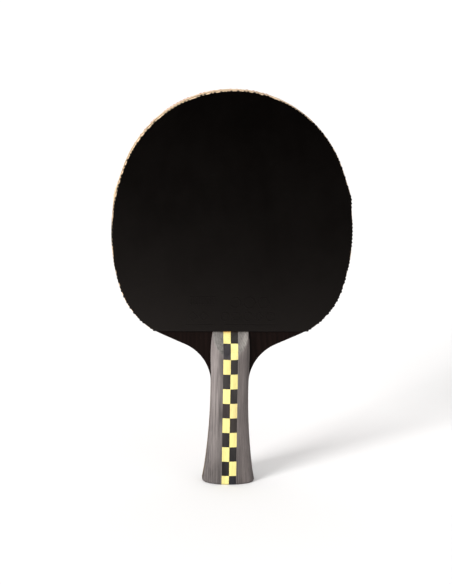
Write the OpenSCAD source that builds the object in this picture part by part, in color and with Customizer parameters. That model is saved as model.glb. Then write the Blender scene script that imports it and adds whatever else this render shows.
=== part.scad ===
// Table tennis paddle with a flared handle.
// It stands upright on its butt: +Z runs up the handle, X across the blade, and Y through its thickness.
// The front faces -Y. The origin is the centre of the butt's flat end.

/* [Blade outline] */
// Height of the whole blade, from the butt to the crown
blade_h = 257; // [250:0.5:265]
// Radius of the crown
crown_r = 73.2; // [72:0.1:75]
// Angle from the top of the crown to where the flatter sides begin
crown_sweep = 67; // [64:1:70]
// Radius of the flatter sides
side_r = 119.2; // [110:0.1:130]
// Angle that each side turns through
side_sweep = 40.5; // [37:0.5:43]
// Radius of the lower corners
corner_r = 50.2; // [47:0.1:54]
// Slope of the shoulders, from level
shoulder_slope = 24; // [22:1:27]
// Radius of the neck, where the shoulders run into the handle
neck_r = 29; // [26:0.5:32]

/* [Blade layers] */
// Thickness of the middle ply
core_t = 3; // [2:0.1:4]
// Thickness of each inner ply
inner_ply_t = 0.9; // [0.6:0.1:1.2]
// Thickness of each dyed face ply
face_ply_t = 0.6; // [0.4:0.1:0.8]

/* [Rubbers] */
// Height of the rubbers' straight lower edge above the butt
rubber_z = 102.2; // [101:0.1:104]
// Thickness of each sponge
sponge_t = 1.8; // [1:0.1:2.2]
// Thickness of each topsheet, pimples included
topsheet_t = 1.8; // [1.2:0.1:2]
// Distance of the sponges' edge inside the blade's edge
sponge_inset = 0.1; // [0:0.1:1]
// Distance of the topsheets' edge inside the blade's edge
topsheet_inset = 0.4; // [0.2:0.1:2]

/* [Handle] */
// Thickness of the handle
handle_t = 24; // [21:0.5:26]
// Width of the handle at its waist
waist_w = 24.4; // [24:0.1:26]
// Height of the waist above the butt
waist_z = 62; // [58:1:66]
// Radius of the flared sides
flare_r = 400; // [350:10:500]
// Width that the flare loses again at the upper end
narrowing = 5.4; // [4:0.1:6]
// Height where the sides start to narrow towards the rubber
narrowing_z = 80; // [76:1:86]
// Height at which the front starts to slope back to the blade
slope_z = 86.5; // [85:0.5:90]
// Height of the upper end, just under the rubbers' edge
handle_h = 102; // [100:0.1:102.1]
// Thickness of each handle half at its upper end
lip_t = 1; // [0.6:0.1:2]

/* [Chequered strip] */
// Width of one block
block_w = 4.7; // [4:0.1:4.7]
// Height of one whole block
block_h = 9.8; // [9.5:0.1:10]
// Height of the cut-off block at the butt
end_block_h = 6.3; // [5:0.1:7]

/* [Hidden] */
// Degrees between the points of an arc
ARC_STEP = 2.5;
// Degrees between the points round the handle, and how many lengths it is built from
ROUND_STEP = 10;
LENGTHS = 12;
// Room that cuts take outside the handle
MARGIN = 30;
GREY_WOOD = [0.56, 0.53, 0.51];
YELLOW_WOOD = [0.96, 0.92, 0.50];
CHARCOAL_WOOD = [0.20, 0.19, 0.21];
BLACK_VENEER = [0.09, 0.07, 0.07];
PALE_WOOD = [0.87, 0.73, 0.54];
SPONGE_CREAM = [0.93, 0.80, 0.60];
BLACK_RUBBER = [0.04, 0.035, 0.035];
RED_RUBBER = [0.66, 0.06, 0.06];

ROWS = 11;
SIDES = ["front", "back"];
COLUMNS = ["left", "right"];

function block_name(side, column, row) =
    str(side, "_", column, "_block_", row < 10 ? "0" : "", row);

blade_t = core_t + 2 * inner_ply_t + 2 * face_ply_t;
half_t = (handle_t - blade_t) / 2;

// Point at distance r from the origin, where angle a turns from +Y towards +X.
function polar(r, a) = r * [sin(a), cos(a)];
function flip(points) = [for (i = [len(points) - 1 : -1 : 0]) [-points[i].x, points[i].y]];

// The right half of the outline is a chain of tangent arcs, from the crown down to the neck.
side_end = crown_sweep + side_sweep;
corner_end = 180 - shoulder_slope;
crown_c = [0, blade_h - crown_r];
side_c = crown_c - polar(side_r - crown_r, crown_sweep);
corner_c = side_c + polar(side_r - corner_r, side_end);
shoulder_top = corner_c + polar(corner_r, corner_end);
neck_x = waist_w / 2 + neck_r;
shoulder_low_x = neck_x - neck_r * sin(shoulder_slope);
shoulder_low = [
    shoulder_low_x,
    shoulder_top.y - (shoulder_top.x - shoulder_low_x) * tan(shoulder_slope)
];
neck_c = [neck_x, shoulder_low.y - neck_r * cos(shoulder_slope)];

// Half the handle's width at height z: the flare, less what it loses above narrowing_z.
function half_width(z) =
    let (over = max(0, z - narrowing_z) / (handle_h - narrowing_z))
    waist_w / 2 + flare_r - sqrt(pow(flare_r, 2) - pow(z - waist_z, 2)) - narrowing / 2 * pow(over, 2);

levels = [for (i = [0 : LENGTHS]) handle_h * i / LENGTHS];

// Points along an arc round c, between two directions from its centre.
function arc(c, r, from, to) =
    let (steps = ceil(abs(to - from) / ARC_STEP))
    [for (i = [0 : steps]) c + polar(r, from + (to - from) * i / steps)];

module symmetric_polygon(half) {
    polygon(concat(half, flip(half)));
}

// The blade from its crown down to the shoulders, with its edge moved in by inset.
module head(inset = 0) {
    symmetric_polygon(concat(
        arc(crown_c, crown_r - inset, 0, crown_sweep),
        arc(side_c, side_r - inset, crown_sweep, side_end),
        arc(corner_c, corner_r - inset, side_end, corner_end)
    ));
}

// Shoulders and the tongue that runs down between the handle halves.
module tongue() {
    symmetric_polygon(concat(
        [corner_c, shoulder_top],
        arc(neck_c, neck_r, -shoulder_slope, -90),
        [for (i = [LENGTHS : -1 : 0]) if (levels[i] < neck_c.y) [half_width(levels[i]), levels[i]]]
    ));
}

module blade_outline() {
    head();
    tongue();
}

module rubber_outline(inset) {
    intersection() {
        head(inset);
        translate([-blade_h / 2, rubber_z]) square(blade_h);
    }
}

// Sheet made of the 2-D outline, from depth to depth + thickness ahead of the middle of the blade.
module sheet(side, depth, thickness) {
    y = side == "front" ? -depth : depth + thickness;
    translate([0, y, 0])
        rotate([90, 0, 0])
            linear_extrude(thickness) children();
}

module blade_core() {
    color(PALE_WOOD)
        sheet("front", -core_t / 2, core_t) blade_outline();
}

module inner_ply(side) {
    color(PALE_WOOD)
        sheet(side, core_t / 2, inner_ply_t) blade_outline();
}

module face_ply(side) {
    color(BLACK_VENEER)
        sheet(side, core_t / 2 + inner_ply_t, face_ply_t) blade_outline();
}

module sponge(side) {
    color(SPONGE_CREAM)
        sheet(side, blade_t / 2, sponge_t) rubber_outline(sponge_inset);
}

module topsheet(side) {
    color(side == "front" ? BLACK_RUBBER : RED_RUBBER)
        sheet(side, blade_t / 2 + sponge_t, topsheet_t) rubber_outline(topsheet_inset);
}

// The back repeats the front, turned half a turn about Z.
module facing(side) {
    rotate([0, 0, side == "front" ? 0 : 180]) children();
}

// Front half of the handle, whole: half an oval at every level, standing on the blade's face.
module handle_half() {
    steps = 180 / ROUND_STEP;
    ring = steps + 1;
    points = [
        for (z = levels) for (i = [0 : steps])
            [half_width(z) * cos(i * ROUND_STEP), -blade_t / 2 - half_t * sin(i * ROUND_STEP), z]
    ];
    walls = [
        for (k = [0 : LENGTHS - 1]) for (i = [0 : steps])
            let (low = k * ring, high = low + ring, next = (i + 1) % ring)
            each [[low + i, low + next, high + next], [low + i, high + next, high + i]]
    ];
    ends = [[for (i = [steps : -1 : 0]) i], [for (i = [0 : steps]) LENGTHS * ring + i]];
    polyhedron(points, concat(walls, ends));
}

// What the sloped upper end takes off the front half.
module slope_cut() {
    foot = [-handle_t / 2, slope_z];
    lip = [-blade_t / 2 - lip_t, handle_h];
    translate([-MARGIN, 0, 0])
        rotate([90, 0, 90])
            linear_extrude(2 * MARGIN)
                polygon([
                    2 * foot - lip,
                    lip,
                    [MARGIN, handle_h],
                    [MARGIN, handle_h + MARGIN],
                    [-MARGIN, handle_h + MARGIN],
                    [-MARGIN, (2 * foot - lip).y]
                ]);
}

// The part of the front half between two x planes and two levels, with its upper end sloped.
module front_piece(x_from, x_to, z_from, z_to) {
    difference() {
        intersection() {
            handle_half();
            translate([x_from, -MARGIN, z_from]) cube([x_to - x_from, 2 * MARGIN, z_to - z_from]);
        }
        slope_cut();
    }
}

module handle_scale(side, column) {
    x = column == "left" ? [-MARGIN, -block_w] : [block_w, MARGIN];
    color(GREY_WOOD)
        facing(side) front_piece(x[0], x[1], -MARGIN, handle_h + MARGIN);
}

module block(side, column, row) {
    x = column == "left" ? -block_w : 0;
    z_from = row == 1 ? -MARGIN : end_block_h + (row - 2) * block_h;
    z_to = row == ROWS ? handle_h + MARGIN : end_block_h + (row - 1) * block_h;
    yellow = (row % 2 == 1) == (column == "left");
    color(yellow ? YELLOW_WOOD : CHARCOAL_WOOD)
        facing(side) front_piece(x, x + block_w, z_from, z_to);
}

blade_core();
for (s = SIDES) {
    inner_ply(s);
    face_ply(s);
    sponge(s);
    topsheet(s);
    for (c = COLUMNS) {
        handle_scale(s, c);
        for (row = [1 : ROWS])
            block(s, c, row);
    }
}
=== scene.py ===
import math

import bmesh
import bpy
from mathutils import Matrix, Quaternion, Vector, noise


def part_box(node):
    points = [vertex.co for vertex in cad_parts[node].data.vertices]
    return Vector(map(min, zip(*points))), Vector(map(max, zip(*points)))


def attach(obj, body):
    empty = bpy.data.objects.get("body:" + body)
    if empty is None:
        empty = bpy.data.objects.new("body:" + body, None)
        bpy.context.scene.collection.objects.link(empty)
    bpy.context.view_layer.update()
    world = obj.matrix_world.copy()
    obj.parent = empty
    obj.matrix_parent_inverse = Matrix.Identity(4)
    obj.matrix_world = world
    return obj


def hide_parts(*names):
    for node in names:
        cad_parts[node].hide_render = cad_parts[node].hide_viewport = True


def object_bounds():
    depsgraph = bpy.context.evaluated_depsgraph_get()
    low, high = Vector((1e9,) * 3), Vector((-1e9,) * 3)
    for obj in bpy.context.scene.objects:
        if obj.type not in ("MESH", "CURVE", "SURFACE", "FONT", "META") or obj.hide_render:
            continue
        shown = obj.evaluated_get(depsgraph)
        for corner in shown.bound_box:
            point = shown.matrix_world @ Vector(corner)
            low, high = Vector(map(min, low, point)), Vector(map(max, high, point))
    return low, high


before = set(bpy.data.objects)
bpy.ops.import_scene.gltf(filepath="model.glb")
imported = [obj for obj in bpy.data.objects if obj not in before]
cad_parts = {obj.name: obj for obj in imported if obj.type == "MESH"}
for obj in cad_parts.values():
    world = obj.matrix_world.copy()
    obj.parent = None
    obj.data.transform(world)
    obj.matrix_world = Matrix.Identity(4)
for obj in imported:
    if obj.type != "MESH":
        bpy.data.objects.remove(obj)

cad_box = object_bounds()
MM = 0.001
# Two places closer than this count as one
TOUCH = 0.01 * MM

# ---------------------------------------------------------------- camera and studio
CAMERA_AZIMUTH = -3.0
CAMERA_ELEVATION = 13.0
CAMERA_DISTANCE = 1.1
CAMERA_LENS = 105.4
CAMERA_SENSOR = 36.0
CAMERA_CLIP = (0.05, 200.0)
CAMERA_ROLL = 0.905
AIM_OFFSET = Vector((-3.2, 0, -1.7)) * MM

# name: (azimuth, elevation, angular size, strength) of lamps that aren't seen in reflections
SUNS = {
    "key": (-49.0, 17.5, 12.0, 2.9),
    "side": (-39.0, 16.5, 12.0, 2.1),
}

# Strength of the white dome all round
AMBIENT = 1.0
FLOOR_COLOUR = (0.732, 0.724, 0.719)
FLOOR_ROUGHNESS = 0.9
# Small enough for every view's camera to reach it
FLOOR_RADIUS = 12.0

# name: (place, direction it faces, (width, depth), power) of lights seen only in reflections
CARDS = {
    "left_card": ((-0.16, -0.27, 0.004), (0, 0, 1), (0.26, 0.20), 0.60),
    "right_card": ((0.14, -0.28, 0.004), (0, 0, 1), (0.30, 0.20), 0.38),
    "near_card": ((-0.02, -0.12, 0.004), (0, 0, 1), (0.36, 0.08), 0.27),
    "back_card": ((0.9, 1.6, 0.9), (-0.9, -1.6, -0.8), (1.2, 1.2), 14.0),
}
CARD_COLOUR = (1.14, 0.99, 0.92)


def direction(azimuth, elevation):
    """Unit vector from the object towards a place round it; azimuth 0 is straight in front."""
    a, e = math.radians(azimuth), math.radians(elevation)
    return Vector((math.sin(a) * math.cos(e), -math.cos(a) * math.cos(e), math.sin(e)))


def make_camera():
    """The camera at the photograph's viewing angle."""
    centre = (cad_box[0] + cad_box[1]) / 2
    back = direction(CAMERA_AZIMUTH, CAMERA_ELEVATION)
    camera = bpy.data.objects.new("camera", bpy.data.cameras.new("camera"))
    bpy.context.scene.collection.objects.link(camera)
    camera.data.lens = CAMERA_LENS
    camera.data.sensor_width = CAMERA_SENSOR
    camera.data.clip_start, camera.data.clip_end = CAMERA_CLIP
    camera.location = centre + AIM_OFFSET + back * CAMERA_DISTANCE
    turn = (-back).to_track_quat("-Z", "Y")
    roll = Quaternion((0, 0, 1), math.radians(CAMERA_ROLL))
    camera.rotation_mode = "QUATERNION"
    camera.rotation_quaternion = turn @ roll
    bpy.context.scene.camera = camera


def add_lamp(name, kind, place, aim, **settings):
    """Adds a lamp that shines from place towards aim and isn't seen itself."""
    light = bpy.data.lights.new(name, kind)
    for key, value in settings.items():
        setattr(light, key, value)
    lamp = bpy.data.objects.new(name, light)
    bpy.context.scene.collection.objects.link(lamp)
    lamp.location = place
    lamp.rotation_mode = "QUATERNION"
    lamp.rotation_quaternion = (aim - place).to_track_quat("-Z", "Y")
    lamp.visible_camera = False
    return lamp


# ---------------------------------------------------------------- node materials
# The Mix node's sockets for colours: factor, A and B, and the result
MIX_COLOUR_INPUTS = (0, 6, 7)
MIX_COLOUR_OUTPUT = 2


class Nodes:
    """Short names for building one material's node tree."""

    def __init__(self, name):
        self.material = bpy.data.materials.new(name)
        self.material.use_nodes = True
        self.tree = self.material.node_tree
        self.shader = self.tree.nodes["Principled BSDF"]

    def add(self, kind, **settings):
        """A new node; each setting is one of its properties or inputs."""
        node = self.tree.nodes.new("ShaderNode" + kind)
        for key, value in settings.items():
            if hasattr(node, key):
                setattr(node, key, value)
            else:
                node.inputs[key].default_value = value
        return node

    def link(self, out, into):
        self.tree.links.new(out, into)

    def place(self, scale=(1, 1, 1), turn=(0, 0, 0), move=(0, 0, 0)):
        """Object coordinates in metres, scaled, turned by degrees and moved."""
        coords = self.add("TexCoord")
        mapping = self.add("Mapping")
        mapping.inputs["Location"].default_value = move
        mapping.inputs["Rotation"].default_value = [math.radians(t) for t in turn]
        mapping.inputs["Scale"].default_value = scale
        self.link(coords.outputs["Object"], mapping.inputs["Vector"])
        return mapping.outputs["Vector"]

    def noise(self, vector, scale, detail=4.0, rough=0.55, distortion=0.0):
        node = self.add("TexNoise")
        node.inputs["Scale"].default_value = scale
        node.inputs["Detail"].default_value = detail
        node.inputs["Roughness"].default_value = rough
        node.inputs["Distortion"].default_value = distortion
        self.link(vector, node.inputs["Vector"])
        return node.outputs["Fac"]

    def ramp(self, value, stops):
        """Colours along a value from 0 to 1, from (place, colour) stops."""
        node = self.add("ValToRGB")
        band = node.color_ramp
        while len(band.elements) < len(stops):
            band.elements.new(0.5)
        for element, (at, colour) in zip(band.elements, stops):
            element.position = at
            element.color = (*colour, 1)
        self.link(value, node.inputs["Fac"])
        return node.outputs["Color"]

    def grey(self, value, low, high, from_low=0.3, from_high=0.7):
        """The value, mapped from one range to another and held inside it."""
        node = self.add("MapRange")
        node.inputs["From Min"].default_value = from_low
        node.inputs["From Max"].default_value = from_high
        node.inputs["To Min"].default_value = low
        node.inputs["To Max"].default_value = high
        self.link(value, node.inputs["Value"])
        return node.outputs["Result"]

    def mix(self, factor, first, second, mode="MIX"):
        """A colour between first and second; each may be a socket, a number or a colour."""
        node = self.add("Mix", data_type="RGBA", blend_type=mode)
        for value, socket in zip((factor, first, second), MIX_COLOUR_INPUTS):
            if isinstance(value, (int, float)):
                node.inputs[socket].default_value = value
            elif isinstance(value, tuple):
                node.inputs[socket].default_value = (*value, 1)
            else:
                self.link(value, node.inputs[socket])
        return node.outputs[MIX_COLOUR_OUTPUT]

    def add_up(self, first, second, weight):
        """first + weight * second"""
        node = self.add("Math", operation="MULTIPLY_ADD")
        self.link(second, node.inputs[0])
        node.inputs[1].default_value = weight
        self.link(first, node.inputs[2])
        return node.outputs[0]

    def bump(self, height, depth, strength):
        """Lets the height, up to depth in metres, tilt the shading."""
        node = self.add("Bump")
        node.inputs["Strength"].default_value = strength
        node.inputs["Distance"].default_value = depth
        self.link(height, node.inputs["Height"])
        self.link(node.outputs["Normal"], self.shader.inputs["Normal"])

    def finish(self, colour, roughness, specular):
        """Sets or links the shader's colour and roughness, sets its specular level and gives the material."""
        for value, name in ((colour, "Base Color"), (roughness, "Roughness")):
            if isinstance(value, (int, float, tuple)):
                self.shader.inputs[name].default_value = (*value, 1) if isinstance(value, tuple) else value
            else:
                self.link(value, self.shader.inputs[name])
        self.shader.inputs["Specular IOR Level"].default_value = specular
        return self.material


def tint(colour, factor):
    """The colour, made lighter or darker by a factor."""
    return tuple(c * factor for c in colour)


WHITE = (1, 1, 1)
BLACK = (0, 0, 0)
# How much each kind of mark counts in the woods' grain, and the width of the sum's range
FIBRE_WEIGHT = 0.8
PATCH_WEIGHT = 0.6
GRAIN_SPREAD = 0.9
PORE_STRENGTH = 0.35
PORE_SHADE = 0.35
PORE_SINK = 0.4
FIBRE_RELIEF = 0.04 * MM


def growth_rings(n, rings, lean, gap):
    """Distorted rings round an axis that stands at rings in x and y and leans by degrees."""
    wave = n.add("TexWave", wave_type="RINGS", rings_direction="Z", wave_profile="SAW")
    wave.inputs["Scale"].default_value = math.pi / (10 * gap)
    wave.inputs["Distortion"].default_value = 2.2
    wave.inputs["Detail"].default_value = 3.0
    wave.inputs["Detail Scale"].default_value = 80
    leaning = n.place(move=(-rings[0], -rings[1], 0), turn=(lean[0], lean[1], 0))
    flat = n.add("Mapping")
    flat.inputs["Scale"].default_value = (1, 1, 0.10)
    n.link(leaning, flat.inputs["Vector"])
    n.link(flat.outputs["Vector"], wave.inputs["Vector"])
    return wave.outputs["Fac"]


def toned_by_height(n, shade, height_tones):
    """The shade, multiplied by the brightness at each height; wear is (height in millimetres, brightness) stops."""
    low, high = cad_box[0].z, cad_box[1].z
    split = n.add("SeparateXYZ")
    n.link(n.place(), split.inputs["Vector"])
    height = n.grey(split.outputs["Z"], 0, 1, low, high)
    stops = [((z * MM - low) / (high - low), (v, v, v)) for z, v in height_tones]
    return n.mix(1.0, shade, n.ramp(height, stops), "MULTIPLY")


def wood_material(name, colour, contrast, rings, lean, gap, figure=0.6, height_tones=(), specular=0.3):
    """Straight-grained wood along Z: growth rings round a leaning axis, fibres, pores and a brightness that changes
    with height.

    rings is where the rings' axis stands in x and y, lean its tilt in degrees, gap the ring spacing, figure
    how strongly the rings show, and wear the stops for worn().
    """
    n = Nodes(name)
    ring_lines = growth_rings(n, rings, lean, gap)
    fibres = n.noise(n.place(scale=(1, 1, 0.02)), 2600, detail=3.0, rough=0.6)
    streaks = n.noise(n.place(scale=(1, 1, 0.025)), 850, detail=4.0, rough=0.65, distortion=0.4)
    patches = n.noise(n.place(scale=(1, 1, 0.3)), 110, detail=2.0)
    pores = n.noise(n.place(scale=(1, 1, 0.05)), 4200, detail=1.0)
    pores = n.ramp(pores, [(0.30, WHITE), (0.38, BLACK)])
    grain = n.add_up(n.add_up(streaks, fibres, FIBRE_WEIGHT), patches, PATCH_WEIGHT)
    grain = n.add_up(grain, ring_lines, figure)
    middle = (1 + FIBRE_WEIGHT + PATCH_WEIGHT + figure) / 2
    grain = n.grey(grain, 0, 1, middle - GRAIN_SPREAD / 2, middle + GRAIN_SPREAD / 2)
    shade = n.ramp(grain, [
        (0.0, tint(colour, 1 - contrast)),
        (0.5, colour),
        (1.0, tint(colour, 1 + contrast)),
    ])
    shade = n.mix(n.mix(PORE_STRENGTH, BLACK, pores), shade, tint(colour, PORE_SHADE))
    if height_tones:
        shade = toned_by_height(n, shade, height_tones)
    # The tone attribute holds each piece's own colour factors, and also painted light and painted shadow
    tone = n.add("Attribute", attribute_name="tone")
    shade = n.mix(1.0, shade, tone.outputs["Color"], "MULTIPLY")
    n.bump(n.add_up(fibres, pores, -PORE_SINK), FIBRE_RELIEF, 0.6)
    return n.finish(shade, n.grey(streaks, 0.50, 0.64), specular)


SKIN_RELIEF = 0.02 * MM
RUBBER_SPECULAR = 0.16


def rubber_material(name, colour, haze):
    """Smooth table tennis rubber: a low broad sheen, faint wipe marks and a fine skin."""
    n = Nodes(name)
    wide = n.noise(n.place(), 28, detail=3.0)
    wipes = n.noise(n.place(scale=(1, 1, 0.35), turn=(0, 18, 0)), 160, detail=4.0)
    skin = n.noise(n.place(), 5200, detail=2.0)
    dust = n.noise(n.place(), 1500, detail=1.0, rough=0.4)
    dust = n.ramp(dust, [(0.70, BLACK), (0.78, WHITE)])
    shade = n.mix(n.grey(wide, 0, 1), tint(colour, 0.92), tint(colour, 1.08))
    shade = n.mix(n.mix(0.5, dust, BLACK), shade, haze)
    n.bump(skin, SKIN_RELIEF, 0.25)
    roughness = n.grey(n.add_up(wide, wipes, 0.5), 0.34, 0.40, 0.6, 0.9)
    return n.finish(shade, roughness, RUBBER_SPECULAR)


# Cells in a metre, and how deep they are
FOAM_CELLS = 3200
CELL_DEPTH = 0.12 * MM


def sponge_material(name, colour):
    """Foam rubber: fine open cells, their hollows darkened as painted shade."""
    n = Nodes(name)
    cells = n.add("TexVoronoi", feature="F1")
    cells.inputs["Scale"].default_value = FOAM_CELLS
    n.link(n.place(), cells.inputs["Vector"])
    holes = n.ramp(cells.outputs["Distance"], [(0.12, BLACK), (0.45, WHITE)])
    patches = n.noise(n.place(), 120, detail=3.0)
    shade = n.mix(n.grey(patches, 0, 1), tint(colour, 0.88), tint(colour, 1.08))
    # Painted shade: the open cells' hollows are darker
    shade = n.mix(holes, tint(colour, 0.62), shade)
    n.bump(cells.outputs["Distance"], CELL_DEPTH, 0.8)
    return n.finish(shade, 0.9, 0.1)


# (height in millimetres, brightness) of the plies' edges, darker where hands rub them
EDGE_WEAR = ((60, 0.24), (95, 0.28), (112, 1.0))

MATERIALS = {
    "black_rubber": rubber_material("black_rubber", (0.0005, 0.0003, 0.0002), (0.012, 0.010, 0.009)),
    "red_rubber": rubber_material("red_rubber", (0.30, 0.012, 0.012), (0.34, 0.05, 0.05)),
    "sponge": sponge_material("sponge", (0.72, 0.53, 0.35)),
    "core_wood": wood_material(
        "core_wood", (0.66, 0.49, 0.32), 0.24, (20 * MM, 30 * MM), (4, 3), 4 * MM, height_tones=EDGE_WEAR
    ),
    "ply_wood": wood_material(
        "ply_wood", (0.60, 0.43, 0.27), 0.24, (-30 * MM, 20 * MM), (3, -4), 4 * MM, height_tones=EDGE_WEAR
    ),
    "black_veneer": wood_material(
        "black_veneer", (0.0042, 0.0021, 0.0017), 0.6, (10 * MM, 20 * MM), (2, 3), 2 * MM, specular=0.04
    ),
    # Both grey scales get darker towards the butt, by the listed brightness at each height
    "grey_wood_left": wood_material(
        "grey_wood_left", (0.170, 0.148, 0.141), 0.68, (-4.2 * MM, -11 * MM), (3.5, 0.5), 1.5 * MM, 0.25,
        height_tones=((0, 0.54), (22, 0.65), (42, 0.80), (60, 0.94), (80, 0.96), (92, 0.86), (100, 0.76)),
    ),
    "grey_wood_right": wood_material(
        "grey_wood_right", (0.136, 0.116, 0.110), 0.62, (30 * MM, 16 * MM), (1, 1), 1.1 * MM, 0.3,
        height_tones=((0, 0.72), (20, 0.84), (40, 0.97), (84, 0.98), (92, 1.15), (100, 1.05)),
    ),
    "yellow_wood": wood_material(
        "yellow_wood", (0.555, 0.490, 0.178), 0.22, (20 * MM, 20 * MM), (3, 4), 3 * MM, 0.3
    ),
    "charcoal_wood": wood_material(
        "charcoal_wood", (0.0165, 0.0150, 0.0148), 0.40, (10 * MM, -30 * MM), (4, 2), 3 * MM, 0.4
    ),
}


# ---------------------------------------------------------------- mesh tools
# Edges sharper than this, in degrees, stay sharp
SHARP_ANGLE = 35


def add_piece(name, points, faces, material, node, tones=None):
    """Makes a closed mesh piece that stands for the CAD node and rides on the paddle.

    tones gives each point's colour factor, which the wood materials multiply by.
    """
    mesh = bpy.data.meshes.new(name)
    mesh.from_pydata(points, [], faces)
    work = bmesh.new()
    work.from_mesh(mesh)
    bmesh.ops.recalc_face_normals(work, faces=work.faces)
    work.to_mesh(mesh)
    work.free()
    piece = bpy.data.objects.new(name, mesh)
    bpy.context.scene.collection.objects.link(piece)
    mesh.materials.append(MATERIALS[material])
    mesh.set_sharp_from_angle(angle=math.radians(SHARP_ANGLE))
    # Only the narrow side faces are smooth: the flat ends have hundreds of corners
    mesh.polygons.foreach_set("use_smooth", [len(face.vertices) <= 4 for face in mesh.polygons])
    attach(piece, "root")
    shade = mesh.color_attributes.new("tone", "FLOAT_COLOR", "POINT")
    for item, tone in zip(shade.data, tones or [(1.0, 1.0, 1.0)] * len(points)):
        item.color = (*tone, 1.0)
    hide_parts(node)
    return piece


def loft(rings):
    """Points and faces of a closed solid through rings with equal numbers of points."""
    count = len(rings[0])
    points = [p for ring in rings for p in ring]
    faces = [tuple(reversed(range(count)))]
    for k in range(len(rings) - 1):
        low = k * count
        for i in range(count):
            j = (i + 1) % count
            faces.append((low + i, low + j, low + count + j, low + count + i))
    faces.append(tuple(range((len(rings) - 1) * count, len(rings) * count)))
    return points, faces


def node_points(name):
    """The points of a CAD node's mesh."""
    return [v.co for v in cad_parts[name].data.vertices]


def flat_outline(name):
    """The outline of a flat CAD sheet as (x, z) points in order, anticlockwise from the front."""
    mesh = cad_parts[name].data
    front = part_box(name)[0].y
    key = [(round(v.co.x, 6), round(v.co.z, 6)) for v in mesh.vertices]
    flat = [abs(v.co.y - front) < TOUCH for v in mesh.vertices]
    edges = set()
    for face in mesh.polygons:
        if all(flat[i] for i in face.vertices):
            corners = [key[i] for i in face.vertices]
            for a, b in zip(corners, corners[1:] + corners[:1]):
                if (b, a) in edges:
                    edges.remove((b, a))
                else:
                    edges.add((a, b))
    follow = dict(edges)
    start = min(follow)
    loop = [start]
    while follow[loop[-1]] != start:
        loop.append(follow[loop[-1]])
    area = sum(a[0] * b[1] - b[0] * a[1] for a, b in zip(loop, loop[1:] + loop[:1]))
    return loop if area > 0 else loop[::-1]


# Least cosine that a mitred corner divides by
MITRE_LIMIT = 0.5


def inward(outline):
    """Mitred normals at the points of an anticlockwise outline, pointing into it."""
    normals = []
    for i, (x, z) in enumerate(outline):
        before, after = outline[i - 1], outline[(i + 1) % len(outline)]
        first = Vector((x - before[0], z - before[1])).normalized()
        second = Vector((after[0] - x, after[1] - z)).normalized()
        along = (first + second).normalized()
        lengthen = 1 / max(MITRE_LIMIT, along.dot(first))
        normals.append(Vector((-along.y, along.x)) * lengthen)
    return normals


def sheet_rings(outline, depths, inset):
    """Rings of a flat sheet at the given depths along Y; inset(x, z, y) draws the edge in."""
    normals = inward(outline)
    rings = []
    for y in depths:
        ring = []
        for (x, z), normal in zip(outline, normals):
            draw = inset(x, z, y)
            ring.append(Vector((x + normal.x * draw, y, z + normal.y * draw)))
        rings.append(ring)
    return rings


def smoothstep(value, low, high):
    """0 below low, 1 above high and an even curve between."""
    t = min(1.0, max(0.0, (value - low) / (high - low)))
    return t * t * (3 - 2 * t)


# ---------------------------------------------------------------- sizes, all from the frame
BLADE_FACE = -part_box("front_face_ply")[0].y
STRIP_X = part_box("front_right_block_05")[1].x
HANDLE_FRONT = -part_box("front_right_block_05")[0].y
HANDLE_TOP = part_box("front_left_handle_scale")[1].z
RUBBER_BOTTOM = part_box("front_topsheet")[0].z
SHEET_FRONT = -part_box("front_topsheet")[0].y
SHEET_BACK = -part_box("front_topsheet")[1].y
# Radius of the rounded rim at the butt
RIM = 1.5 * MM
# How gently the oval front turns into the slope
SLOPE_SOFTNESS = 0.18 * MM
ROWS = 11


def slope_line():
    """Depth of the sloped upper end at the top of the handle, and its rate of change with height."""
    top_block = f"front_left_block_{ROWS}"
    low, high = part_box(top_block)
    lip = max(-p.y for p in node_points(top_block) if p.z > high.z - TOUCH)
    return lip, (-low.y - lip) / (high.z - low.z)


LIP, SLOPE = slope_line()


def side_levels():
    """(z, half-width) at each level of the CAD handle, bottom to top."""
    found = {}
    for p in node_points("front_right_handle_scale"):
        if abs(-p.y - BLADE_FACE) < TOUCH and p.x > STRIP_X + MM:
            found[round(p.z, 6)] = max(p.x, found.get(round(p.z, 6), 0))
    return sorted(found.items())


LEVELS = side_levels()
WAIST_Z = min(LEVELS, key=lambda level: level[1] if level[0] < 0.8 * HANDLE_TOP else 1)[0]


def half_width(z):
    """Half the handle's width at height z, on a smooth curve through the CAD levels."""
    k = max(i for i in range(len(LEVELS) - 1) if LEVELS[i][0] <= z or i == 0)
    (z0, w0), (z1, w1) = LEVELS[k], LEVELS[k + 1]
    before = LEVELS[k - 1] if k else (2 * z0 - z1, 2 * w0 - w1)
    after = LEVELS[k + 2] if k + 2 < len(LEVELS) else (2 * z1 - z0, 2 * w1 - w0)
    span = z1 - z0
    m0 = (w1 - before[1]) / (z1 - before[0]) * span
    m1 = (after[1] - w0) / (after[0] - z0) * span
    t = min(1.0, max(0.0, (z - z0) / span))
    return (
        (2 * t**3 - 3 * t**2 + 1) * w0
        + (t**3 - 2 * t**2 + t) * m0
        + (3 * t**2 - 2 * t**3) * w1
        + (t**3 - t**2) * m1
    )


def rim_inset(z):
    """How far the rounded rim at the butt draws the surface in at height z."""
    return RIM - math.sqrt(max(0.0, RIM**2 - (RIM - z) ** 2)) if z < RIM else 0.0


def crown_depth(x, z):
    """Depth of the handle's oval front surface at (x, z), before the slope cuts it."""
    width = half_width(z) - rim_inset(z)
    crown = HANDLE_FRONT - BLADE_FACE - rim_inset(z)
    return BLADE_FACE + crown * math.sqrt(max(0.0, 1 - (x / width) ** 2))


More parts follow.
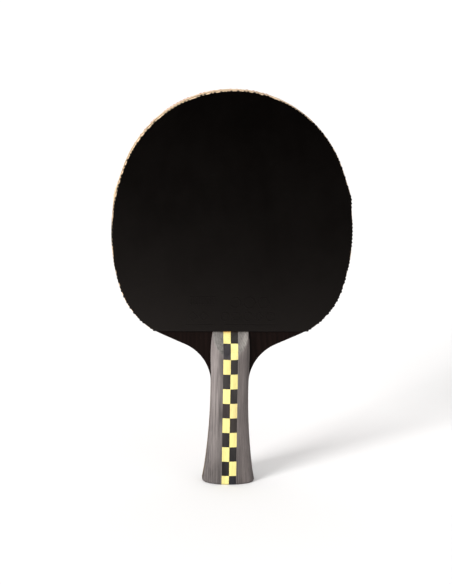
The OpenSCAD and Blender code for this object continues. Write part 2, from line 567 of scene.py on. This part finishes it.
def front_depth(x, z):
    """Distance of the handle's front surface from the middle of the blade at (x, z)."""
    depth = crown_depth(x, z)
    slope = LIP + SLOPE * (HANDLE_TOP - z)
    blend = max(0.0, 1 - abs(depth - slope) / (4 * SLOPE_SOFTNESS))
    return min(depth, slope) - SLOPE_SOFTNESS * blend**2


FIRST_LEVEL = 4 * MM
COARSE_STEP = 2.5 * MM
FINE_STEP = 0.8 * MM


def handle_heights(low, high):
    """Levels of a lengthwise piece of the handle: close together at the rim and on the slope."""
    marks = [low, high]
    marks += [RIM * (1 - math.cos(math.radians(a))) for a in range(15, 91, 15)]
    slope_foot = HANDLE_TOP - (HANDLE_FRONT - LIP) / SLOPE
    z = FIRST_LEVEL
    while z < HANDLE_TOP:
        marks.append(z)
        z += FINE_STEP if z > slope_foot - 3 * MM else COARSE_STEP
    return sorted({round(m, 7) for m in marks if low <= m <= high})


# ---------------------------------------------------------------- blade plies
def ply_edge_radius(z):
    """Radius of the sanded edge: largest on the shoulders, slight round the head and least on the handle."""
    shoulder = smoothstep(z, WAIST_Z, WAIST_Z + 12 * MM)
    head = smoothstep(z, RUBBER_BOTTOM - 3 * MM, RUBBER_BOTTOM + 4 * MM)
    return (0.05 + 0.55 * shoulder * (1 - head) + 0.08 * head) * MM


def ply_inset(x, z, y):
    """How far the sanded edge draws the plies' outline in at depth y."""
    radius = ply_edge_radius(z)
    over = min(radius, abs(y) - (BLADE_FACE - radius))
    return radius - math.sqrt(radius**2 - over**2) if over > 0 else 0.0


def blade_outline():
    """The blade's outline with the rounded rim at the butt."""
    outline = []
    for x, z in flat_outline("blade_core"):
        if z > TOUCH:
            outline.append((x, z))
            continue
        turn = [(abs(x) - rim_inset(h), h) for h in handle_heights(0, RIM)]
        side = math.copysign(1, x)
        outline += [(side * w, h) for w, h in (turn[::-1] if x < 0 else turn)]
    return outline


PLY_STEPS = 6


def make_plies():
    """The five plies, all with one outline."""
    outline = blade_outline()
    layers = {"blade_core": "core_wood"}
    for side in ("front", "back"):
        layers[f"{side}_inner_ply"] = "ply_wood"
        layers[f"{side}_face_ply"] = "black_veneer"
    for node, material in layers.items():
        low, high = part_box(node)
        depths = [low.y + (high.y - low.y) * i / PLY_STEPS for i in range(PLY_STEPS + 1)]
        points, faces = loft(sheet_rings(outline, depths, ply_inset))
        add_piece(node + "_wood", points, faces, material, node)


# ---------------------------------------------------------------- rubbers
def turned(points, side):
    """Points of a front piece, or the same piece turned half a turn about Z for the back."""
    return points if side == "front" else [Vector((-p.x, -p.y, p.z)) for p in points]


# The waver of a cut by hand along the blade, in waves to a metre and in depth
WAVER_SCALE = 45
WAVER = 0.22 * MM
# The corner that the cut leaves on the right: its height, reach and size
CORNER_Z = 190 * MM
CORNER_REACH = 6 * MM
CORNER = 0.9 * MM
# How far the whole cut sits to the right
CUT_SHIFT = 0.1 * MM
# Room left for the teeth inside the CAD box
CUT_MARGIN = 0.37 * MM


def on_lower_edge(z):
    """True on the rubbers' straight lower edge."""
    return z < RUBBER_BOTTOM + TOUCH


def hand_cut(outline, seed):
    """The outline as cut by hand along the blade: shifted a little, and wavering by tenths of a millimetre."""
    cut = []
    for (x, z), normal in zip(outline, inward(outline)):
        waver = noise.noise(Vector((x * WAVER_SCALE, z * WAVER_SCALE, seed))) * WAVER
        corner = math.exp(-(((z - CORNER_Z) / CORNER_REACH) ** 2)) * CORNER if x > 0 else 0.0
        if on_lower_edge(z):
            waver = corner = 0.0
        off = normal * (waver - corner)
        across = min(max(x + off.x + CUT_SHIFT, cad_box[0].x + CUT_MARGIN), cad_box[1].x - CUT_MARGIN)
        cut.append((across, z + off.y))
    return cut


SPONGE_STEPS = 4
# Roughness of the sponge's cut, in waves to a metre and in depth
RAGGED_SCALE = 900
RAGGED = 0.12 * MM
# Noise seeds of each side's cuts
SPONGE_SEEDS = {"front": 3.0, "back": 8.0}
SHEET_SEEDS = {"front": 5.0, "back": 11.0}


def make_sponge(side):
    """The sponge sheet, with a finely ragged cut edge."""
    node = f"{side}_sponge"
    outline = hand_cut(flat_outline("front_sponge"), SPONGE_SEEDS[side])
    low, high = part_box("front_sponge")
    depths = [low.y + (high.y - low.y) * i / SPONGE_STEPS for i in range(SPONGE_STEPS + 1)]

    def ragged(x, z, y):
        place = Vector((x * RAGGED_SCALE, y * RAGGED_SCALE, z * RAGGED_SCALE))
        return abs(noise.noise(place)) * RAGGED

    points, faces = loft(sheet_rings(outline, depths, ragged))
    add_piece(node + "_foam", turned(points, side), faces, "sponge", node)


# Thickness of the topsheet's skin, without its pimples
SKIN = 1.0 * MM
# Rounding of the cut edge, and of the moulded lower edge
EDGE_BEVEL = 0.15 * MM
LOWER_BEVEL = 0.45 * MM
# Depths of the bevels' rings, as parts of the deeper bevel
BEVEL_STEPS = (0, 0.1, 0.2, 0.35, 0.55, 0.8, 1)
# Depth of the cut edge's teeth, and how far their tips stand outside the cut
TOOTH = 0.55 * MM
TOOTH_TIP = 0.35 * MM
EDGE_STEP = 0.35 * MM
LOWER_EDGE_STEP = 2.8 * MM
PIMPLE_PITCH = 2.4 * MM
PIMPLE_COLUMN = PIMPLE_PITCH * math.sqrt(3) / 2
PIMPLE_RADIUS = 0.8 * MM
PIMPLE_SIDES = 12
# Width of the band behind the cut edge that has pimples
PIMPLE_BAND = 5.5 * MM


def pimple_gap(x, z):
    """Distance from (x, z) to the nearest pimple's centre, on a triangular lattice with upright columns."""
    gaps = []
    middle = round(x / PIMPLE_COLUMN)
    for column in (middle - 1, middle, middle + 1):
        start = RUBBER_BOTTOM + 0.5 * (column % 2) * PIMPLE_PITCH
        row = round((z - start) / PIMPLE_PITCH)
        gaps.append(math.hypot(column * PIMPLE_COLUMN - x, start + row * PIMPLE_PITCH - z))
    return min(gaps)


def serrated(outline):
    """The outline with fine steps, drawn in between the pimples that its cut passes through."""
    fine = []
    for (ax, az), (bx, bz) in zip(outline, outline[1:] + outline[:1]):
        step = LOWER_EDGE_STEP if on_lower_edge(max(az, bz)) else EDGE_STEP
        steps = max(1, round(math.hypot(bx - ax, bz - az) / step))
        fine += [(ax + (bx - ax) * i / steps, az + (bz - az) * i / steps) for i in range(steps)]
    toothed = []
    for (x, z), normal in zip(fine, inward(fine)):
        between = smoothstep(pimple_gap(x, z), PIMPLE_RADIUS * 0.6, PIMPLE_RADIUS * 1.4)
        draw = 0.0 if on_lower_edge(z) else TOOTH * between - TOOTH_TIP
        toothed.append((x + normal.x * draw, max(z + normal.y * draw, RUBBER_BOTTOM)))
    return toothed


def distance_inside(outline, x, z):
    """Distance from a point to the outline, negative outside it, and the nearest point on it."""
    best, nearest, inside = 1e9, None, False
    for (ax, az), (bx, bz) in zip(outline, outline[1:] + outline[:1]):
        if (az > z) != (bz > z) and x < (bx - ax) * (z - az) / (bz - az) + ax:
            inside = not inside
        dx, dz = bx - ax, bz - az
        t = min(1.0, max(0.0, ((x - ax) * dx + (z - az) * dz) / (dx * dx + dz * dz)))
        px, pz = ax + dx * t, az + dz * t
        gap = math.hypot(x - px, z - pz)
        if gap < best:
            best, nearest = gap, (px, pz)
    return (best if inside else -best), nearest


def pimple_ring(outline, x, z, gap):
    """Outline of the pimple at (x, z), held inside the cut; gap is its centre's distance from the cut."""
    ring = []
    for i in range(PIMPLE_SIDES):
        a = 2 * math.pi * i / PIMPLE_SIDES
        px, pz = x + PIMPLE_RADIUS * math.cos(a), z + PIMPLE_RADIUS * math.sin(a)
        if gap < PIMPLE_RADIUS:
            out, nearest = distance_inside(outline, px, pz)
            if out < 0:
                px, pz = nearest
        ring.append((px, pz))
    return ring


def pimples(outline):
    """Pimples in a band inside the cut edge, cut off where the edge meets them."""
    points, faces = [], []
    width = max(abs(x) for x, _ in outline)
    height = max(z for _, z in outline) - RUBBER_BOTTOM
    last_column, last_row = int(width / PIMPLE_COLUMN) + 1, int(height / PIMPLE_PITCH) + 1
    for column in range(-last_column, last_column + 1):
        for row in range(last_row + 1):
            x = column * PIMPLE_COLUMN
            z = RUBBER_BOTTOM + (row + 0.5 * (column % 2)) * PIMPLE_PITCH
            gap, _ = distance_inside(outline, x, z)
            if not -0.3 * PIMPLE_RADIUS < gap < PIMPLE_BAND:
                continue
            ring = pimple_ring(outline, x, z, gap)
            depths = (SHEET_FRONT - SKIN * 0.8, SHEET_BACK)
            rings = [[Vector((px, -y, pz)) for px, pz in ring] for y in depths]
            join(points, faces, *loft(rings))
    return points, faces


def join(points, faces, more_points, more_faces):
    """Adds more points and faces to those already there."""
    faces += [tuple(i + len(points) for i in face) for face in more_faces]
    points += more_points


MARK_HEIGHT = 0.10 * MM
MARK_STROKE = 0.75 * MM
MARK_SLOPE = 0.12 * MM
MARK_BAR = 0.8 * MM
# How deep a mark's foot is sunk into the sheet
MARK_FOOT = 0.1 * MM
# Depth of the sheet's smooth face, below the marks
SHEET_FACE = SHEET_FRONT - MARK_HEIGHT
# Embossed outlines, in millimetres from the middle of the rubber's lower edge: (x, z, sides, width, height, turn)
MARKS = (
    [(-25.5 + 3.5 * i, 20.5, 4, 3.7, 7.0, 45) for i in range(5)]
    + [(2.5, 19.0, 8, 7.6, 7.6, 22.5), (11.5, 19.0, 24, 8.0, 8.0, 0), (20.5, 19.0, 6, 8.0, 8.0, 0)]
    + [(-24.5, 9.8, 4, 6.4, 6.4, 0), (-17.5, 9.8, 4, 6.4, 6.4, 0)]
    + [(-4.0 + 7.3 * i, 9.8, (24, 6, 24, 4, 24)[i], 6.2, 6.2, 0) for i in range(5)]
)
# Embossed bars: (x, z, length)
MARK_LINES = ((-20.5, 4.2, 18.0), (13.0, 4.2, 34.0))


def raised_loop(x, z, sides, width, height, turn):
    """A low raised line that runs round a regular shape, its foot sunk into the sheet."""
    foot = SHEET_FACE - MARK_FOOT
    profile = (
        (-MARK_SLOPE, foot), (0, SHEET_FRONT),
        (MARK_STROKE, SHEET_FRONT), (MARK_STROKE + MARK_SLOPE, foot),
    )
    loops = []
    for draw, depth in profile:
        loop = []
        for i in range(sides):
            a = math.radians(turn) + 2 * math.pi * i / sides
            loop.append(Vector((
                x * MM + (width * MM / 2 - draw) * math.cos(a),
                -depth,
                RUBBER_BOTTOM + z * MM + (height * MM / 2 - draw) * math.sin(a),
            )))
        loops.append(loop)
    points = [p for loop in loops for p in loop]
    faces = []
    for k in range(len(profile)):
        for i in range(sides):
            j, low, high = (i + 1) % sides, k * sides, (k + 1) % len(profile) * sides
            faces.append((low + i, low + j, high + j, high + i))
    return points, faces


def raised_line(x, z, length):
    """A low raised bar along X."""
    rings = []
    for depth, draw in ((SHEET_FACE - MARK_FOOT, 0), (SHEET_FRONT, MARK_SLOPE)):
        half, up = length * MM / 2 - draw, MARK_BAR / 2 - draw
        corners = ((-half, -up), (half, -up), (half, up), (-half, up))
        rings.append([Vector((x * MM + cx, -depth, RUBBER_BOTTOM + z * MM + cz)) for cx, cz in corners])
    return loft(rings)


def make_topsheet(side):
    """The rubber: a sheet with a toothed cut edge and embossed marks, on pimples."""
    node = f"{side}_topsheet"
    outline = serrated(hand_cut(flat_outline("front_topsheet"), SHEET_SEEDS[side]))
    depths = [-SHEET_FACE + LOWER_BEVEL * step for step in BEVEL_STEPS]
    depths.append(-(SHEET_FRONT - SKIN))

    def cut(x, z, y):
        bevel = LOWER_BEVEL if on_lower_edge(z) else EDGE_BEVEL
        over = min(bevel, bevel - (SHEET_FACE + y))
        return bevel - math.sqrt(bevel**2 - over**2) if over > 0 else 0.0

    points, faces = loft(sheet_rings(outline, depths, cut))
    join(points, faces, *pimples(outline))
    for mark in MARKS:
        join(points, faces, *raised_loop(*mark))
    for line in MARK_LINES:
        join(points, faces, *raised_line(*line))
    slot = "black_rubber" if side == "front" else "red_rubber"
    add_piece(node + "_rubber", turned(points, side), faces, slot, node)


# ---------------------------------------------------------------- handle
# Depth and width of the broken edges between pieces
SEAM = 0.05 * MM
SCALE_STEPS = 20
# Below 1, a scale's points stand closer together at the front than at its edge
SCALE_SPREAD = 0.9
BLOCK_STEPS = 8

# (tone beside the strip, tone at the outer edge) of each column's scale: painted light, lighter towards the outer
# edge
SCALE_EDGE_LIGHT = {"left": (0.76, 1.0), "right": (0.80, 1.18)}
# The left scale's dark streak: middle and reach in x, and darkening
STREAK_X = 5.6 * MM
STREAK_REACH = 2.1 * MM
STREAK_DEPTH = 0.40
# Colour factors of the sloped end of the scales, and of the painted shadow that the rubber's edge casts on scales
# and on blocks
SLOPE_TINT = (1.02, 1.10, 1.07)
SCALE_RUBBER_SHADOW = 0.5
BLOCK_RUBBER_SHADOW = (0.8, 0.45, 0.25)


def rubber_edge_shadow(z):
    """How far the last millimetre under the rubber lies in the painted shadow of the rubber's edge."""
    return smoothstep(z, HANDLE_TOP - 1.5 * MM, HANDLE_TOP - 0.3 * MM)


def streak_shade(x, z):
    """How dark the left scale's streak is at (x, z)."""
    ends = smoothstep(z, 34 * MM, 46 * MM) * (1 - smoothstep(z, 84 * MM, 90 * MM))
    return STREAK_DEPTH * ends * math.exp(-(((x - STREAK_X) / STREAK_REACH) ** 2))


def scale_tone(point, column):
    """Colour factor on a grey scale: lighter at its outer edge as painted light, darker under the rubber as painted
    shadow, greener on the slope.
    """
    x, z = abs(point.x), point.z
    inner, outer = SCALE_EDGE_LIGHT[column]
    # Painted light: the scale is lighter towards its outer edge
    tone = inner + (outer - inner) * smoothstep(x, 6 * MM, 11 * MM)
    if column == "left":
        tone *= 1 - streak_shade(x, z)
    # Painted shadow of the rubber's edge on the top millimetre
    tone *= 1 - (1 - SCALE_RUBBER_SHADOW) * rubber_edge_shadow(z)
    sloped = smoothstep(crown_depth(x, z) - front_depth(x, z), 0, 0.4 * MM)
    return tuple(tone * (1 + (part - 1) * sloped) for part in SLOPE_TINT)


# Colour factors of single blocks that differ from the rest: the two charcoal blocks on the slope, left 10 and right
# 11, are lighter as painted light from above, the rest differ in their own tone
BLOCK_TONES = {
    ("left", 10): (1.75, 1.75, 1.95),
    ("right", 11): (1.25, 1.25, 1.15),
    ("right", 1): (1.15, 1.25, 1.5),
    ("right", 5): (1.25, 1.15, 1.05),
    ("left", 6): (1.1, 0.95, 0.95),
    ("right", 6): (1.0, 0.93, 1.02),
    ("left", 9): (1.0, 0.96, 0.95),
    ("right", 10): (1.0, 1.02, 1.08),
}


def block_tone(point, column, row):
    """Colour factor on a block: its own tone, darker under the rubber as painted shadow."""
    plain = BLOCK_TONES.get((column, row), (1.0, 1.0, 1.0))
    # Painted shadow of the rubber's edge on the top millimetre
    shadowed = rubber_edge_shadow(point.z)
    return tuple(p * (1 - shadowed * (1 - low)) for p, low in zip(plain, BLOCK_RUBBER_SHADOW))


def make_handle_scale(side, column):
    """One grey scale: an oval front surface from the strip round to the blade's edge."""
    node = f"{side}_{column}_handle_scale"
    mirror = -1 if column == "left" else 1
    rings = []
    for z in handle_heights(0, HANDLE_TOP):
        width = half_width(z) - rim_inset(z)
        last = math.degrees(math.acos((STRIP_X + SEAM) / width))
        ring = []
        for i in range(SCALE_STEPS + 1):
            x = width * math.cos(math.radians(last * (i / SCALE_STEPS) ** SCALE_SPREAD))
            ring.append((x, front_depth(x, z) if i else BLADE_FACE))
        ring.append((STRIP_X, front_depth(STRIP_X, z) - SEAM))
        ring.append((STRIP_X, BLADE_FACE))
        rings.append([Vector((mirror * x, -y, z)) for x, y in ring])
    points, faces = loft(rings)
    material = f"grey_wood_{column}"
    tones = [scale_tone(p, column) for p in points]
    add_piece(node + "_wood", turned(points, side), faces, material, node, tones)


def make_block(side, column, row):
    """One block of the strip, its front surface flush with the scales and its edges just broken."""
    node = f"{side}_{column}_block_{row:02d}"
    low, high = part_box(f"front_{column}_block_{row:02d}")
    rings = []
    inner = [h for h in handle_heights(low.z, high.z) if low.z + SEAM < h < high.z - SEAM]
    for z in [low.z, low.z + SEAM, *inner, high.z - SEAM, high.z]:
        ends = SEAM if z in (low.z, high.z) else 0.0
        ring = [(low.x, front_depth(low.x, z) - SEAM)]
        for i in range(BLOCK_STEPS + 1):
            x = low.x + SEAM + (high.x - low.x - 2 * SEAM) * i / BLOCK_STEPS
            ring.append((x, front_depth(x, z) - ends))
        ring.append((high.x, front_depth(high.x, z) - SEAM))
        ring += [(high.x, BLADE_FACE), (low.x, BLADE_FACE)]
        rings.append([Vector((x, -y, z)) for x, y in ring])
    points, faces = loft(rings)
    slot = "yellow_wood" if (row % 2 == 1) == (column == "left") else "charcoal_wood"
    tones = [block_tone(p, column, row) for p in points]
    add_piece(node + "_wood", turned(points, side), faces, slot, node, tones)


# ---------------------------------------------------------------- stage
def emission_material(name, strength):
    """A surface that only shines, in white."""
    material = bpy.data.materials.new(name)
    material.use_nodes = True
    tree = material.node_tree
    tree.nodes.clear()
    emission = tree.nodes.new("ShaderNodeEmission")
    emission.inputs["Strength"].default_value = strength
    out = tree.nodes.new("ShaderNodeOutputMaterial")
    tree.links.new(emission.outputs[0], out.inputs[0])
    return material


def make_stage():
    """A plain floor inside a white shining dome, both unseen in reflections."""
    n = Nodes("floor")
    n.finish(FLOOR_COLOUR, FLOOR_ROUGHNESS, 0.0)
    bpy.ops.mesh.primitive_circle_add(vertices=96, radius=FLOOR_RADIUS, fill_type="NGON")
    floor = bpy.context.object
    floor.name = "floor"
    floor.data.materials.append(n.material)
    bpy.ops.mesh.primitive_uv_sphere_add(segments=48, ring_count=24, radius=FLOOR_RADIUS)
    dome = bpy.context.object
    dome.name = "dome"
    dome.data.materials.append(emission_material("dome", AMBIENT))
    dome.visible_shadow = False
    for piece in (floor, dome):
        piece.visible_glossy = False


def make_lights():
    """Two soft suns from the left, cards that only the rubber's sheen shows, and a black world."""
    for name, (azimuth, elevation, softness, strength) in SUNS.items():
        place = direction(azimuth, elevation)
        sun = add_lamp(name, "SUN", place, Vector(), energy=strength, angle=math.radians(softness))
        sun.visible_glossy = False
    for name, (place, facing, size, power) in CARDS.items():
        place = Vector(place)
        card = add_lamp(
            name, "AREA", place, place + Vector(facing),
            shape="RECTANGLE", size=size[0], size_y=size[1], energy=power, color=CARD_COLOUR,
        )
        card.visible_diffuse = False
    world = bpy.data.worlds.new("studio")
    bpy.context.scene.world = world
    world.use_nodes = True
    world.node_tree.nodes["Background"].inputs[0].default_value = (0, 0, 0, 1)
    bpy.context.scene.view_settings.view_transform = "Standard"


make_camera()
make_stage()
make_lights()
make_plies()
for face_side in ("front", "back"):
    make_sponge(face_side)
    make_topsheet(face_side)
    for strip_column in ("left", "right"):
        make_handle_scale(face_side, strip_column)
        for strip_row in range(1, ROWS + 1):
            make_block(face_side, strip_column, strip_row)
